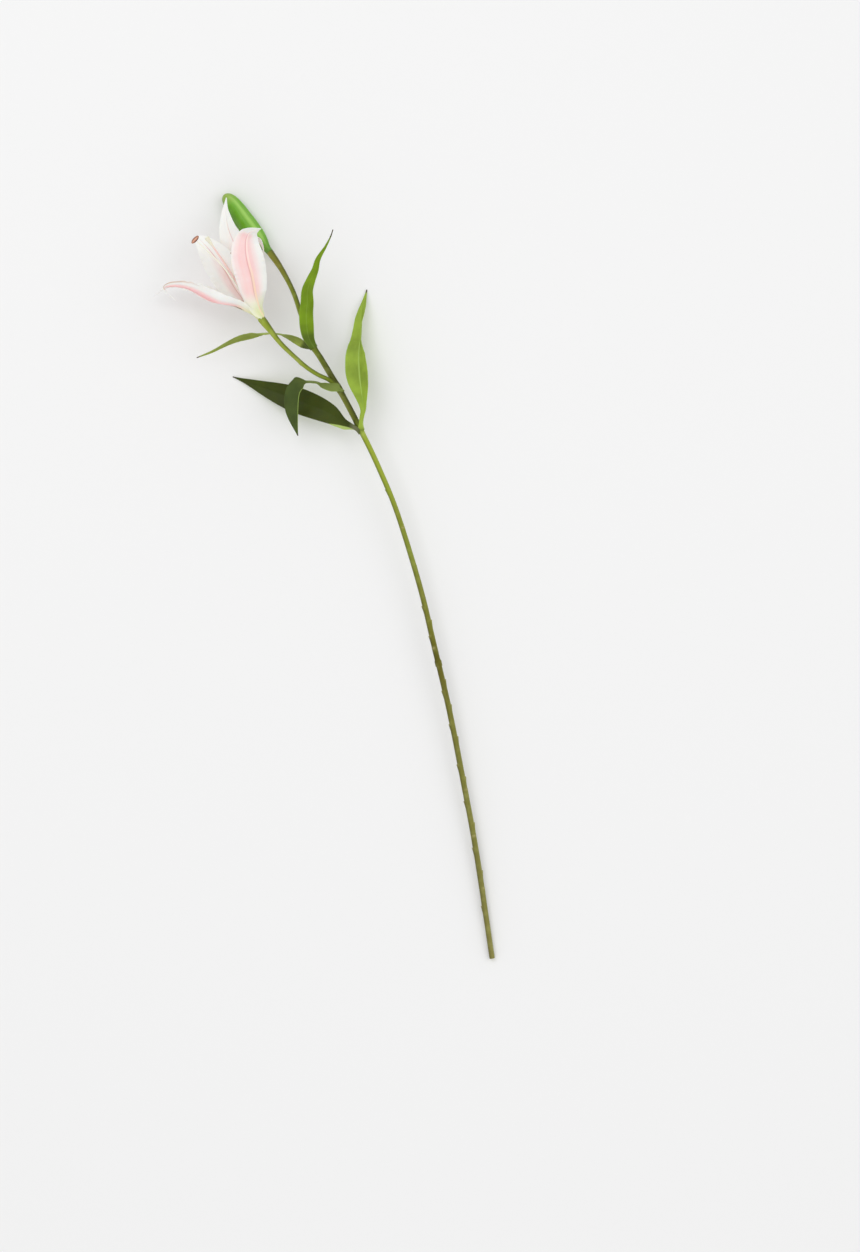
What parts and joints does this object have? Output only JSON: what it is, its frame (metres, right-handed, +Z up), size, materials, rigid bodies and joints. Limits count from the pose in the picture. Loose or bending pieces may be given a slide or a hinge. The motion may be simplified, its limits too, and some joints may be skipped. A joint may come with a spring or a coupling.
{
  "type": "lily stem",
  "caption": "Cut lily stem lying on its side, with an open pink-edged bloom, a closed green bud and narrow arching leaves on a slender stem.",
  "frame": {"origin": "centre of the footprint on the surface that the stem lies on", "axes": "+Z up from the surface, +Y from the cut end to the bud, +X to the right as seen from above"},
  "size_m": [0.3576, 0.8018, 0.1195],
  "materials": {
    "stem": "satin, smooth skin with raised leaf scars",
    "bud": "satin, waxy skin",
    "leaf": "satin, parallel veins",
    "leaf_dark": "satin, parallel veins, darker",
    "petal": "matt, soft grain along the midrib",
    "pistil": "satin",
    "pollen": "matt, powdery"
  },
  "bodies": {
    "root": {"stem": "stem", "bud": "bud", "leaf_broad_right": "leaf", "leaf_arching": "leaf", "leaf_tall": "leaf", "leaf_broad_left": "leaf_dark", "leaf_folded": "leaf_dark", "tepal_front": "petal", "tepal_right": "petal", "tepal_back": "petal", "tepal_back_left": "petal", "tepal_low_left": "petal", "tepal_left": "petal", "pistil_and_filaments": "pistil", "anther_1": "pollen", "anther_2": "pollen", "anther_3": "pollen", "anther_4": "pollen", "anther_5": "pollen", "anther_6": "pollen"}
  },
  "joints": []
}
